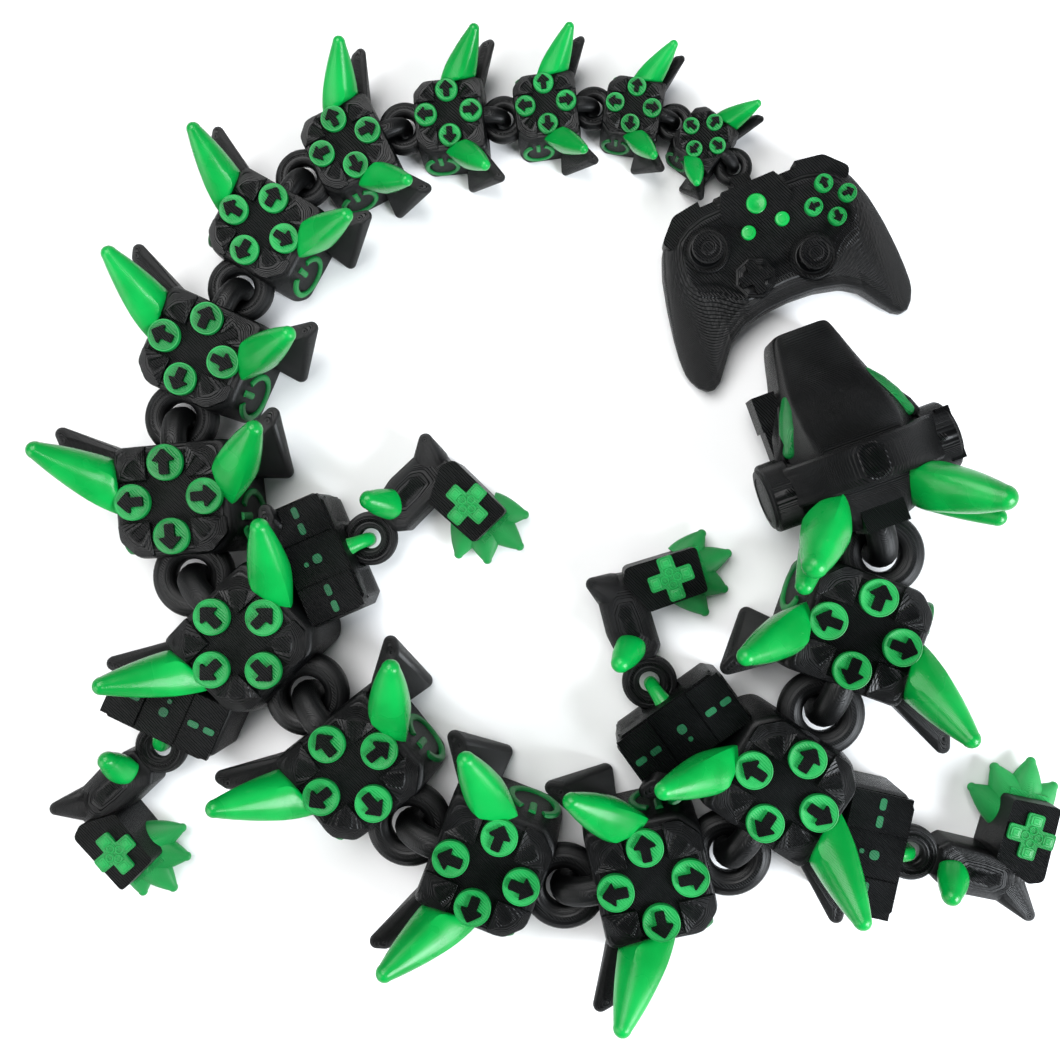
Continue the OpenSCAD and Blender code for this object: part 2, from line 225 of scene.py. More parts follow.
def dome(outline, low, high, rise, foot=0.3, steps=7):
    """Solid on an outline whose top swells over the last rise of its height."""
    middle = sum((Vector(p) for p in outline), Vector((0, 0))) / len(outline)
    rings = [(0.985, low), (1.0, low + foot), (1.0, high - rise)]
    for k in range(1, steps + 1):
        a = math.radians(88) * k / steps
        rings.append((math.cos(a) ** 0.8, high - rise + rise * math.sin(a)))
    return loft([[(*(middle + (Vector(p) - middle) * k), z) for p in outline]
                 for k, z in rings])


def hull(balls, n=20):
    """Skin stretched over balls (x, y, z, radius)."""
    bm = bmesh.new()
    for x, y, z, r in balls:
        for i in range(1, n // 2):
            lat = math.pi * i / (n // 2)
            for j in range(n):
                lon = 2 * math.pi * j / n
                bm.verts.new((x + r * math.sin(lat) * math.cos(lon),
                              y + r * math.sin(lat) * math.sin(lon), z + r * math.cos(lat)))
        bm.verts.new((x, y, z + r))
        bm.verts.new((x, y, z - r))
    bmesh.ops.convex_hull(bm, input=list(bm.verts))
    inside = [v for v in bm.verts if not v.link_faces]
    bmesh.ops.delete(bm, geom=inside, context="VERTS")
    return bm


def squircle(angle, power):
    """Point of a rounded square, a diamond at power 1 and a circle at power 2."""
    c, s = math.cos(angle), math.sin(angle)
    f = (abs(c) ** power + abs(s) ** power) ** (-1 / power)
    return c * f, s * f


def link(radius, half, power=2.2, n=56, m=16):
    """Printed ring that lies flat, half thick each way."""
    rings = []
    for k in range(n):
        a = 2 * math.pi * k / n
        ring = []
        for q in range(m):
            out, up = squircle(2 * math.pi * q / m, power)
            r = radius + half * out
            ring.append((r * math.cos(a), r * math.sin(a), half * up))
        rings.append(ring)
    return loft(rings, wrap=True)


def lathe(profile, n=40):
    """Solid turned round Z from (radius, height) pairs, low to high."""
    return loft([[(r * math.cos(2 * math.pi * k / n), r * math.sin(2 * math.pi * k / n), z)
                  for k in range(n)] for r, z in profile])


def horn(root, u, v, tip, tip_r, ridge=1.3, belly=1.6, steps=16, n=32):
    """Blunt horn from a root with half axes u and v; ridge 1 gives it four sharp ridges."""
    root, u, v, tip = Vector(root), Vector(u), Vector(v), Vector(tip)
    axis = (tip - root).normalized()
    reach = (tip - root).length - tip_r
    u_end = (u - axis * u.dot(axis)).normalized()
    v_end = axis.cross(u_end)
    if v_end.dot(v) < 0:
        v_end = -v_end
    rings = []
    for k in range(steps + 6):
        t = min(1.0, k / steps)
        cap = math.radians(86) * max(0, k - steps) / 5
        full = 1 - t ** belly
        a = (tip_r + (u.length - tip_r) * full) * math.cos(cap)
        b = (tip_r + (v.length - tip_r) * full) * math.cos(cap)
        turn = min(1.0, t / 0.3)
        ux = u.normalized().lerp(u_end, turn).normalized()
        vx = v.normalized().lerp(v_end, turn).normalized()
        middle = root + axis * (reach * t + tip_r * math.sin(cap))
        power = ridge + (2 - ridge) * t ** 1.5
        ring = []
        for q in range(n):
            p, w = squircle(2 * math.pi * q / n, power)
            ring.append(middle + ux * a * p + vx * b * w)
        rings.append(ring)
    return loft(rings)


def moved(bm, matrix):
    bmesh.ops.transform(bm, matrix=matrix, verts=bm.verts)
    return bm


def turned_x(angle):
    return Matrix.Rotation(math.radians(angle), 4, "X")


def as_object(bm):
    bmesh.ops.recalc_face_normals(bm, faces=bm.faces)
    mesh = bpy.data.meshes.new("solid")
    bm.to_mesh(mesh)
    thing = bpy.data.objects.new("solid", mesh)
    bpy.context.scene.collection.objects.link(thing)
    return thing


def cut(bm, cutter):
    """bm with the solid cutter taken away."""
    solid, tool = as_object(bm), as_object(cutter)
    change = solid.modifiers.new("cut", "BOOLEAN")
    change.operation = "DIFFERENCE"
    change.solver = "EXACT"
    change.object = tool
    bpy.context.view_layer.update()
    seen = solid.evaluated_get(bpy.context.evaluated_depsgraph_get())
    result = bmesh.new()
    result.from_mesh(seen.data)
    for thing in (solid, tool):
        mesh = thing.data
        bpy.data.objects.remove(thing)
        bpy.data.meshes.remove(mesh)
    return result


class Piece:
    """One printed piece, gathered from closed solids, each with its own look."""

    def __init__(self, name):
        self.name = name
        self.points = []
        self.faces = []
        self.looks = []
        self.face_looks = []

    def add(self, bm, look, place):
        """Takes in a copy of bm, moved by place."""
        if look not in self.looks:
            self.looks.append(look)
        copy = bm.copy()
        bmesh.ops.transform(copy, matrix=place, verts=copy.verts)
        bmesh.ops.recalc_face_normals(copy, faces=copy.faces)
        base = len(self.points)
        copy.verts.index_update()
        self.points += [v.co * MM for v in copy.verts]
        self.faces += [[base + v.index for v in f.verts] for f in copy.faces]
        self.face_looks += [self.looks.index(look)] * len(copy.faces)
        copy.free()

    def place(self, body, node, slot, sharp=34):
        """Makes the mesh and has it stand for a CAD node on its body."""
        mesh = bpy.data.meshes.new(self.name)
        mesh.from_pydata(self.points, [], self.faces)
        for look in self.looks:
            mesh.materials.append(look)
        mesh.polygons.foreach_set("material_index", self.face_looks)
        mesh.polygons.foreach_set("use_smooth", [True] * len(mesh.polygons))
        mesh.set_sharp_from_angle(angle=math.radians(sharp))
        piece = bpy.data.objects.new(self.name, mesh)
        bpy.context.scene.collection.objects.link(piece)
        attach(piece, body)
        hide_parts(node)
        return piece


# ------------------------------------------------------------------ finishes
def node(tree, kind, settings=None, **inputs):
    """Shader node with its settings and inputs; an input is a value or another node's socket."""
    made = tree.nodes.new(kind)
    for key, value in (settings or {}).items():
        setattr(made, key, value)
    for key, value in inputs.items():
        slot = made.inputs[int(key[1:])] if key[0] == "i" and key[1:].isdigit() else made.inputs[key]
        if isinstance(value, bpy.types.NodeSocket):
            tree.links.new(value, slot)
        else:
            slot.default_value = value
    return made


def maths(tree, operation, a, b=0.0, c=0.0):
    return node(tree, "ShaderNodeMath", {"operation": operation}, i0=a, i1=b, i2=c).outputs[0]


def ramp(tree, value, low, high, start=0.0, end=1.0):
    """Value mapped smoothly from low..high to start..end."""
    return node(tree, "ShaderNodeMapRange", {"interpolation_type": "SMOOTHSTEP"}, Value=value,
                i1=low, i2=high, i3=start, i4=end).outputs[0]


def new_group(name, inputs, outputs):
    """Empty node group with float or vector inputs, and its first and last nodes."""
    group = bpy.data.node_groups.new(name, "ShaderNodeTree")
    for label, value in inputs.items():
        kind = "NodeSocketVector" if value is None else "NodeSocketFloat"
        socket = group.interface.new_socket(label, in_out="INPUT", socket_type=kind)
        if value is not None:
            socket.default_value = value
    for label in outputs:
        group.interface.new_socket(label, in_out="OUTPUT", socket_type="NodeSocketFloat")
    return group, group.nodes.new("NodeGroupInput"), group.nodes.new("NodeGroupOutput")


def make_layer_steps():
    """Printed layers: level treads and short risers on slopes, faint beads on walls, and a mask of
    painted shade for the grooves between layers.
    """
    inputs = {"Vector": None, "Layer": 0.0002, "Wobble": 0.00003, "Amount": 1.0}
    group, given, out = new_group("Layer steps", inputs, ["Height", "Groove shade"])
    spot = node(group, "ShaderNodeSeparateXYZ", Vector=given.outputs["Vector"])
    waver = node(group, "ShaderNodeTexNoise", {"noise_dimensions": "3D"},
                 Vector=given.outputs["Vector"], Scale=420.0, Detail=2.0)
    shift = maths(group, "MULTIPLY", maths(group, "SUBTRACT", waver.outputs["Fac"], 0.5),
                  given.outputs["Wobble"])
    height = maths(group, "ADD", spot.outputs["Z"], shift)
    part = maths(group, "FRACT", maths(group, "DIVIDE", height, given.outputs["Layer"]))
    riser = ramp(group, part, 0.62, 1.0)
    tread = maths(group, "MULTIPLY", maths(group, "SUBTRACT", riser, part), given.outputs["Layer"])
    facing = node(group, "ShaderNodeNewGeometry").outputs["Normal"]
    upright = maths(group, "ABSOLUTE", node(group, "ShaderNodeSeparateXYZ", Vector=facing).outputs["Z"])
    amount = maths(group, "MULTIPLY", ramp(group, upright, 0.1, 0.75, 0.22, 1.0),
                   given.outputs["Amount"])
    group.links.new(maths(group, "MULTIPLY", tread, amount), out.inputs["Height"])
    # painted shade: mask that darkens the colour in the groove between layers
    groove_shade = maths(group, "MULTIPLY", ramp(group, part, 0.55, 0.8), ramp(group, part, 1.0, 0.85))
    group.links.new(maths(group, "MULTIPLY", groove_shade, amount), out.inputs["Groove shade"])
    return group


def make_top_strokes():
    """Diagonal nozzle strokes that close a level top, all running one way with a slight waver."""
    group, given, out = new_group("Top strokes", {"Vector": None, "Pitch": 0.00065, "Depth": 0.00005},
                                  ["Height"])
    spot = node(group, "ShaderNodeSeparateXYZ", Vector=given.outputs["Vector"])
    waver = node(group, "ShaderNodeTexNoise", Vector=given.outputs["Vector"], Scale=160.0, Detail=1.0)
    along = maths(group, "ADD", spot.outputs["X"], spot.outputs["Y"])
    along = maths(group, "ADD", along, maths(group, "MULTIPLY", waver.outputs["Fac"], 0.0012))
    turn = maths(group, "DIVIDE", along, given.outputs["Pitch"])
    wave = maths(group, "SINE", maths(group, "MULTIPLY", turn, 4.443))
    facing = node(group, "ShaderNodeNewGeometry").outputs["Normal"]
    level = ramp(group, node(group, "ShaderNodeSeparateXYZ", Vector=facing).outputs["Z"], 0.985, 0.998)
    size = maths(group, "MULTIPLY", given.outputs["Depth"], level)
    group.links.new(maths(group, "MULTIPLY", wave, size), out.inputs["Height"])
    return group


def make_scuffs():
    """Short pale scratches and specks, thick in some places and absent in others."""
    group, given, out = new_group("Scuffs", {"Vector": None, "Scale": 260.0, "Cover": 0.62}, ["Mask"])
    stretch = node(group, "ShaderNodeMapping", Vector=given.outputs["Vector"])
    stretch.inputs["Scale"].default_value = (1.0, 3.2, 1.0)
    stretch.inputs["Rotation"].default_value = (0.3, 0.2, 0.7)
    fine = node(group, "ShaderNodeTexNoise", Vector=stretch.outputs[0], Scale=given.outputs["Scale"],
                Detail=4.0, Roughness=0.7)
    broad = node(group, "ShaderNodeTexNoise", Vector=given.outputs["Vector"], Scale=70.0, Detail=1.0)
    marks = ramp(group, fine.outputs["Fac"], given.outputs["Cover"], 0.78)
    where = ramp(group, broad.outputs["Fac"], 0.48, 0.66)
    group.links.new(maths(group, "MULTIPLY", marks, where), out.inputs["Mask"])
    return group


LAYER_STEPS = make_layer_steps()
TOP_STROKES = make_top_strokes()
SCUFFS = make_scuffs()


def use(tree, group, **inputs):
    made = node(tree, "ShaderNodeGroup", {"node_tree": group})
    for key, value in inputs.items():
        if isinstance(value, bpy.types.NodeSocket):
            tree.links.new(value, made.inputs[key])
        else:
            made.inputs[key].default_value = value
    return made


def filament(name, deep, light, scuffed, rough, lines=1.0, strokes=0.00006, blotch=0.00003, wear=0.5,
             **plain):
    """Printed plastic: colour drift, layer steps with painted shade in their grooves, top strokes,
    blobs and scuffs.
    """
    look = bpy.data.materials.new(name)
    look.use_nodes = True
    tree = look.node_tree
    tree.nodes.clear()
    spot = node(tree, "ShaderNodeTexCoord").outputs["Object"]
    drift = node(tree, "ShaderNodeTexNoise", Vector=spot, Scale=55.0, Detail=3.0)
    tint = node(tree, "ShaderNodeMix", {"data_type": "RGBA"},
                i0=ramp(tree, drift.outputs["Fac"], 0.35, 0.68), i6=(*deep, 1), i7=(*light, 1))
    steps = use(tree, LAYER_STEPS, Vector=spot, Amount=lines)
    # painted shade: the colour is darkened in the layer grooves
    groove_shaded = node(tree, "ShaderNodeMix", {"data_type": "RGBA", "blend_type": "MULTIPLY"},
                i0=maths(tree, "MULTIPLY", steps.outputs["Groove shade"], 0.55), i6=tint.outputs[2],
                i7=(0.35, 0.35, 0.35, 1))
    marks = use(tree, SCUFFS, Vector=spot)
    worn = node(tree, "ShaderNodeMix", {"data_type": "RGBA"},
                i0=maths(tree, "MULTIPLY", marks.outputs["Mask"], wear), i6=groove_shaded.outputs[2],
                i7=(*scuffed, 1))
    blobs = node(tree, "ShaderNodeTexNoise", Vector=spot, Scale=900.0, Detail=3.0)
    top = use(tree, TOP_STROKES, Vector=spot, Depth=strokes)
    height = maths(tree, "ADD", steps.outputs["Height"], top.outputs["Height"])
    height = maths(tree, "ADD", height, maths(tree, "MULTIPLY", blobs.outputs["Fac"], blotch))
    bump = node(tree, "ShaderNodeBump", Strength=1.0, Distance=1.0, Height=height)
    gloss = ramp(tree, drift.outputs["Fac"], 0.3, 0.7, rough - 0.06, rough + 0.08)
    gloss = maths(tree, "ADD", gloss, maths(tree, "MULTIPLY", marks.outputs["Mask"], 0.2))
    shader = node(tree, "ShaderNodeBsdfPrincipled", Roughness=gloss, Normal=bump.outputs[0])
    tree.links.new(worn.outputs[2], shader.inputs["Base Color"])
    for key, value in plain.items():
        shader.inputs[key.replace("_", " ")].default_value = value
    end = node(tree, "ShaderNodeOutputMaterial")
    tree.links.new(shader.outputs[0], end.inputs["Surface"])
    return look


BLACK = filament("Black filament", (0.0004, 0.0005, 0.0006), (0.0018, 0.002, 0.0023),
                 (0.03, 0.03, 0.031), 0.36, lines=1.35, strokes=0.00016, blotch=0.00005,
                 wear=0.3, Specular_IOR_Level=0.22)
LINK_BLACK = filament("Black link filament", (0.0005, 0.0006, 0.0007), (0.0022, 0.0024, 0.0027),
                      (0.03, 0.03, 0.031), 0.42, lines=0.45, wear=0.3, Specular_IOR_Level=0.25)
GLOSSY_GREEN = filament("Glossy green filament", (0.0002, 0.24, 0.034), (0.0004, 0.35, 0.055),
                        (0.25, 0.62, 0.3), 0.27, lines=0.22, strokes=0.0, blotch=0.000008, wear=0.2,
                        Specular_IOR_Level=0.28, Coat_Weight=0.12, Coat_Roughness=0.14)
BUTTON_GREEN = filament("Button green filament", (0.003, 0.19, 0.035), (0.008, 0.29, 0.06),
                        (0.08, 0.42, 0.14), 0.42, lines=0.7, wear=0.3, Specular_IOR_Level=0.3)
# the ports' own green, darkened as painted shade for their inset
PORT_SHADED_GREEN = filament("Port green, darkened with painted shade", (0.002, 0.055, 0.02), (0.01, 0.12, 0.045),
                      (0.08, 0.3, 0.16), 0.4, lines=0.5, wear=0.4, Specular_IOR_Level=0.3)
EMBLEM_GREEN = filament("Emblem green filament", (0.001, 0.12, 0.024), (0.004, 0.21, 0.042),
                        (0.1, 0.36, 0.16), 0.38, lines=0.7, wear=0.25, Specular_IOR_Level=0.3)


# ------------------------------------------------------------------ a vertebra
def block_outline(half_w, cut_front, draw_in, grow=0.0):
    """Plan of a block at one level; grow brings it in or out all round."""
    w = half_w + grow
    back, front = -BLOCK_HALF + draw_in - grow, BLOCK_HALF - draw_in + grow
    right = [(back, -w + 0.4, 2.4), (0.0, -w, 20), (front - cut_front, -w, 5),
             (front, -w + cut_front, 5)]
    left = [(x, -y, r) for x, y, r in reversed(right)]
    return rounded(right + left, 4)


def block(link_size):
    """Leaning-walled block, with the pocket that the next ring turns in."""
    rings = []
    for z, half_w, cut_front, draw_in in BLOCK_LEVELS:
        rings.append([(*p, z) for p in block_outline(half_w, cut_front, draw_in)])
    bm = loft(rings)
    pocket = lathe([(POCKET_R * link_size, (LINK_Z - 6) * link_size),
                    (POCKET_R * link_size, (LINK_Z + 6) * link_size)])
    moved(pocket, Matrix.Translation((-BLOCK_HALF - GAP_FRONT * link_size, 0, 0)))
    return cut(bm, pocket)


def pad_height(x, y):
    """Top of a corner pad, which falls away towards the block's rim."""
    rim = (abs(x) / 15.2) ** 4 + (abs(y) / 15.4) ** 4
    return DECK_Z + 1.35 - 2.5 * ease(0.2, 1.5, rim)


def corner_pad(front, side):
    if front > 0:
        corners = [(RECESS, RECESS, 0.4), (14.9, RECESS, 0.8), (14.9, 10.2, 3), (10.2, 14.9, 3),
                   (RECESS, 15.0, 0.8)]
    else:
        corners = [(-RECESS, RECESS, 0.4), (-RECESS, 14.8, 0.8), (-14.9, 14.6, 2.6),
                   (-14.9, RECESS, 0.8)]
    outline = [Vector((x, y * side)) for x, y in rounded(corners, 4)]
    middle = sum(outline, Vector((0, 0))) / len(outline)
    rings = [[(*p, DECK_Z - 2.2) for p in outline], [(*p, pad_height(*p) - 0.25) for p in outline]]
    for k in (0.975, 0.86, 0.72, 0.56, 0.4, 0.24, 0.08):
        ring = [middle + (p - middle) * k for p in outline]
        rings.append([(*p, pad_height(*p)) for p in ring])
    return loft(rings)


def wall_out(z):
    return between(z, BLOCK_LEVELS, 1)


def wall_cord(path, half_w, m=12):
    """Raised line along (x, z) points of the left wall, ends closed."""
    rings = []
    for k, (x, z) in enumerate(path):
        nxt = path[min(k + 1, len(path) - 1)]
        prv = path[max(k - 1, 0)]
        along = (Vector(nxt) - Vector(prv)).normalized()
        ring = []
        for q in range(m):
            off, out = squircle(2 * math.pi * q / m, 3.0)
            px, pz = x - along.y * off * half_w, z + along.x * off * half_w
            ring.append((px, wall_out(pz) + 0.1 + 0.75 * out, pz))
        rings.append(ring)
    return loft(rings)


def emblem():
    """Ring that is open at its top, and the short bar that stands in the opening."""
    gap = math.radians(27)
    turns = 34
    arc = []
    for k in range(turns + 1):
        a = math.pi / 2 + gap + (2 * math.pi - 2 * gap) * k / turns
        arc.append((EMBLEM_X + EMBLEM_R * math.cos(a), EMBLEM_Z + EMBLEM_R * math.sin(a)))
    post = [(EMBLEM_X, EMBLEM_Z + EMBLEM_R * t) for t in (0.35, 0.45, 0.6, 0.8, 1.0, 1.1)]
    return wall_cord(arc, 1.0), wall_cord(post, 1.05)


def button():
    """Disc with a thin rim that stands a little proud."""
    return lathe([(4.75, -0.4), (4.9, 0.0), (4.9, 1.4), (4.82, 1.58), (4.6, 1.62), (4.45, 1.5),
                  (4.25, 1.44), (1.5, 1.46), (0.3, 1.48)], 44)


def arrow(size=1.0):
    outline = rounded([(3.3, 0, 0.5), (0.3, 2.9, 0.6), (0.2, 1.15, 0.3), (-2.9, 1.15, 0.5),
                       (-2.9, -1.15, 0.5), (0.2, -1.15, 0.3), (0.3, -2.9, 0.6)], 3)
    return prism([p * size for p in outline], -0.3, 0.85 * size, 0.28 * size)


def fin():
    """Leaning blade that steadies a vertebra on the table."""
    return hull([(-12.5, 15, 4.4, 1.6), (-6.8, 15.4, 4.4, 1.6), (-12.5, 14.6, 13.5, 1.6),
                 (-6.8, 14.6, 12.5, 1.6), (-6.4, 25.8, 2.6, 2.2), (-20.4, 29.2, 22.0, 2.0),
                 (-18.4, 28.2, 22.2, 2.2)])


def spike():
    """Glossy horn of a vertebra, ridged along its top."""
    return horn((-4.0, 15.0, 19.8), (-7.6, 0.6, -0.3), (-0.8, -1.6, 6.6), (-16.0, 30.0, 39.4), 2.4,
                ridge=1.32)


SPIKE, FIN, BUTTON, ARROW, EMBLEM = spike(), fin(), button(), arrow(1.14), emblem()
PADS = [corner_pad(front, side) for front in (1, -1) for side in (1, -1)]
FRONT_RING = moved(link(RING_R, RING_T), Matrix.Translation((BLOCK_HALF + GAP_OWN, 0, LINK_Z)))
REAR_LOOP = moved(link(RING_R, LOOP_T), Matrix.Translation((RING_R, 0, LINK_Z)) @ turned_x(90))


def quarter(k, out, z):
    return Matrix.Rotation(math.pi / 2 * k, 4, "Z") @ Matrix.Translation((out, 0, z))


def make_vertebra(i):
    place = vertebra_frame(i)
    body = f"spine_{i:02d}"
    next_size = SIZES[i + 1]
    shell = Piece(f"{body}_body")
    shell.add(block(next_size / SIZES[i]), BLACK, place)
    for pad in PADS:
        shell.add(pad, BLACK, place)
    for side in (1, -1):
        shell.add(FIN, BLACK, place @ side_frame(side))
    shell.add(FRONT_RING, LINK_BLACK, place)
    shell.add(REAR_LOOP, LINK_BLACK, at(RINGS[i + 1], AHEAD[i], next_size))
    for k in range(4):
        shell.add(ARROW, BLACK, place @ quarter(k, BUTTON_OUT, DECK_Z + 1.5))
    shell.place(body, f"{body}_shell", "black_filament")
    trim = Piece(f"{body}_spikes")
    for k in range(4):
        trim.add(BUTTON, BUTTON_GREEN, place @ quarter(k, BUTTON_OUT, DECK_Z))
    for side in (1, -1):
        trim.add(SPIKE, GLOSSY_GREEN, place @ side_frame(side))
        if i not in (FRONT_LEGS, REAR_LEGS):
            for mark in EMBLEM:
                trim.add(mark, EMBLEM_GREEN, place @ side_frame(side))
    trim.place(body, f"{body}_trim", "green_filament", sharp=28)


# ------------------------------------------------------------------ a console and its leg
def console_body():
    corners = [(-17, -9, 1), (17, -9, 1), (17, 5.4, 0.8), (14.4, 8, 0.8), (-14.4, 8, 0.8),
               (-17, 5.4, 0.8)]
    outline = rounded(corners, 3)
    rings = [[(*(p * k), z) for p in outline]
             for k, z in ((0.98, 0), (1, 0.5), (1, CONSOLE_TOP - 2.4), (0.965, CONSOLE_TOP - 0.7))]
    pocket = moved(lathe([(LEG_RING_R + 3.1, LEG_RING_Z - 3.3), (LEG_RING_R + 3.1, LEG_RING_Z + 3.3)]),
                   Matrix.Translation((0, 8 + LEG_RING_R, 0)))
    return cut(loft(rings), pocket)


def console_panels():
    """Two end panels and the slightly lower middle one."""
    top = CONSOLE_TOP
    parts = [bar(-16.2, -6.2, -8.6, 7.0, top - 1.5, top, 0.35),
             bar(6.2, 16.2, -8.6, 7.0, top - 1.5, top, 0.35),
             bar(-5.7, 5.7, -8.6, 7.2, top - 1.5, top - 0.35, 0.3)]
    parts.append(bar(-15, -7.4, 6.2, 8.0, 3, top - 3.2, 0.5))
    parts.append(bar(7.4, 15, 6.2, 8.0, 3, top - 3.2, 0.5))
    return parts


def port(x, y, long, wide, z):
    outline = rounded([(-long, -wide, wide), (long, -wide, wide), (long, wide, wide),
                       (-long, wide, wide)], 4)
    return moved(prism(outline, -0.5, 0.22, 0.12), Matrix.Translation((x, y, z)))


def console_ports():
    top = CONSOLE_TOP
    ovals = [port(x, -0.6, 1.6, 0.85, top) for x in (-13.6, -8.9, 8.9, 13.6)]
    return ovals + [port(0, 0, 1.3, 1.3, top - 0.35), port(0.4, -3.4, 0.65, 0.65, top - 0.35)]


def hook():
    """Half ring that stands on the console's outer wall, with a flared foot."""
    steps = 22
    rings = []
    for k in range(steps + 1):
        a = math.pi * k / steps
        flare = 1 + 0.35 * (1 - math.sin(a)) ** 3
        ring = []
        for q in range(16):
            out, side = squircle(2 * math.pi * q / 16, 2.2)
            r = LEG_RING_R + 1.9 * out * flare
            ring.append((1.9 * side * flare, 7.4 + r * math.sin(a), LEG_RING_Z + r * math.cos(a)))
        rings.append(ring)
    return loft(rings)


def leg_shapes():
    arm = rounded([(6, -4, 1), (8.5, -6.4, 1.5), (19, -7, 3), (30, -6.4, 2), (31.4, 1.5, 3),
                   (26, 5.8, 4), (16, 6.8, 8), (9, 5.9, 2), (6, 4, 1)], 4)
    paw = rounded([(18.8, -6.5, 1), (18.8, -23.0, 1.2), (31.2, -24, 1.2), (32.2, -4, 2),
                   (28.4, -2.4, 2)], 3)
    parts = [moved(link(LEG_RING_R, 2.4, 2.4, 44, 14), Matrix.Translation((0, 0, LEG_RING_Z))),
             dome(arm, 0, 13.6, 5.2),
             prism(paw, 0, 16, 0.9),
             hull([(26.8, 1.2, 7.2, 5.2), (31.0, 5.4, 14.8, 1.9)], 24)]
    return parts


def claw_shapes():
    tips = [(34.0, -28.8), (25.7, -33.8), (16.0, -29.2), (11.4, -21.6)]
    roots = [(28.4, -20.4), (25.8, -22.4), (22.2, -22), (21.0, -17.8)]
    parts = []
    for (rx, ry), (tx, ty) in zip(roots, tips):
        root, tip = Vector((rx, ry, 5.4)), Vector((tx, ty, 4.2))
        across = Vector((-(tip - root).y, (tip - root).x, 0)).normalized() * 5.2
        parts.append(horn(root, across, (0, 0, 4.8), tip, 1.3, ridge=1.6, steps=12, n=24))
    parts.append(bar(20.2, 30.8, -25.0, -19.0, 1.4, 9.6, 1.2))
    shoulder = horn((11.6, 0.8, 10.4), (4.3, 0.7, 0), (0, 3.2, 3.0), (8.4, 6.8, 21.2), 2.6,
                    ridge=1.6, belly=2.2, steps=12, n=28)
    return parts, shoulder


def plus(arm, half, corner):
    """Outline of a plus sign."""
    points = []
    for k in range(4):
        turn = Matrix.Rotation(math.pi / 2 * k, 2)
        for x, y, r in ((half, half, 0.25), (arm, half, corner), (arm, -half, corner)):
            spot = turn @ Vector((x, -y))
            points.append((spot.x, spot.y, r))
    return rounded(points[1:] + points[:1], 3)


def cross_pad():
    """Plus-shaped pad with a cushion on each arm and four small rings round its middle."""
    parts = [prism(plus(6.1, 2.15, 0.8), -0.4, 0.75, 0.3)]
    for k in range(4):
        cushion = rounded([(2.9, -1.5, 0.6), (5.7, -1.5, 0.6), (5.7, 1.5, 0.6), (2.9, 1.5, 0.6)], 3)
        ring = moved(link(1.0, 0.28, 2.0, 18, 6), Matrix.Translation((1.75, 0, 0.78)))
        for part in (dome(cushion, 0.5, 1.25, 0.45, 0.1, 3), ring):
            parts.append(moved(part, Matrix.Rotation(math.pi / 2 * k, 4, "Z")))
    return parts


def make_console_and_leg(name, i, side):
    body = f"spine_{i:02d}"
    place = console_frame(i, side)
    box = Piece(f"{name}_console_body")
    box.add(console_body(), BLACK, place)
    for panel in console_panels():
        box.add(panel, BLACK, place)
    box.place(body, f"{name}_console", "black_filament")
    trim = Piece(f"{name}_hook_trim")
    trim.add(hook(), GLOSSY_GREEN, place)
    # the ports use the darkened green: real green with painted shade of their inset
    for mark in console_ports():
        trim.add(mark, PORT_SHADED_GREEN, place)
    trim.place(body, f"{name}_hook", "green_filament")
    place = leg_frame(i, side, LEG_TURN[name])
    limb = Piece(f"{name}_leg_body")
    for part in leg_shapes():
        limb.add(part, BLACK, place)
    limb.place(f"{name}_leg", f"{name}_leg", "black_filament")
    nails = Piece(f"{name}_claw_set")
    claws, shoulder = claw_shapes()
    for part in claws:
        nails.add(part, BUTTON_GREEN, place)
    nails.add(shoulder, GLOSSY_GREEN, place)
    for part in cross_pad():
        nails.add(part, BUTTON_GREEN, place @ Matrix.Translation((25.5, -14.8, 16)))
    nails.place(f"{name}_leg", f"{name}_claws", "green_filament")


# ------------------------------------------------------------------ the head
# a slice of the skull: its x, then the half width and height of its top, cheek and foot
SKULL = [
    (64.0, 5.6, 15.4, 6.5, 13.4, 6.3, 1.6), (63.2, 6.7, 16.8, 7.7, 14.6, 7.5, 0.5),
    (60.0, 7.4, 17.8, 8.8, 15.6, 8.6, 0.0), (53.0, 8.9, 20.2, 10.6, 17.4, 10.2, 0.0),
    (47.0, 10.2, 22.6, 12.4, 19.0, 12.0, 0.0), (43.0, 11.0, 25.4, 13.8, 20.8, 13.4, 0.0),
    (38.5, 11.4, 29.4, 15.4, 22.6, 14.6, 0.0), (34.0, 11.2, 32.4, 16.4, 23.6, 15.4, 0.0),
    (29.5, 10.6, 34.0, 16.8, 23.6, 15.8, 0.0), (24.0, 10.0, 34.0, 16.4, 22.6, 15.4, 0.0),
    (18.0, 8.6, 32.6, 15.2, 21.4, 14.8, 0.0), (13.0, 7.4, 30.0, 13.4, 20.0, 13.2, 0.0),
    (9.6, 6.4, 27.6, 11.6, 18.4, 11.2, 0.2), (9.0, 5.6, 26.6, 10.8, 17.6, 10.6, 0.8),
]


def skull():
    rings = []
    for x, top_w, top_z, cheek_w, cheek_z, foot_w, foot_z in through(SKULL, 4):
        right = [(-foot_w, max(foot_z, 0.0), 1.2), (-cheek_w, cheek_z, 2.6), (-top_w, top_z, 2.4)]
        left = [(-y, z, r) for y, z, r in reversed(right)]
        rings.append([(x, p.x, p.y) for p in rounded(right + left, 5)])
    pocket = lathe([(POCKET_R, LINK_Z - 6), (POCKET_R, LINK_Z + 6)])
    return cut(loft(rings), pocket)


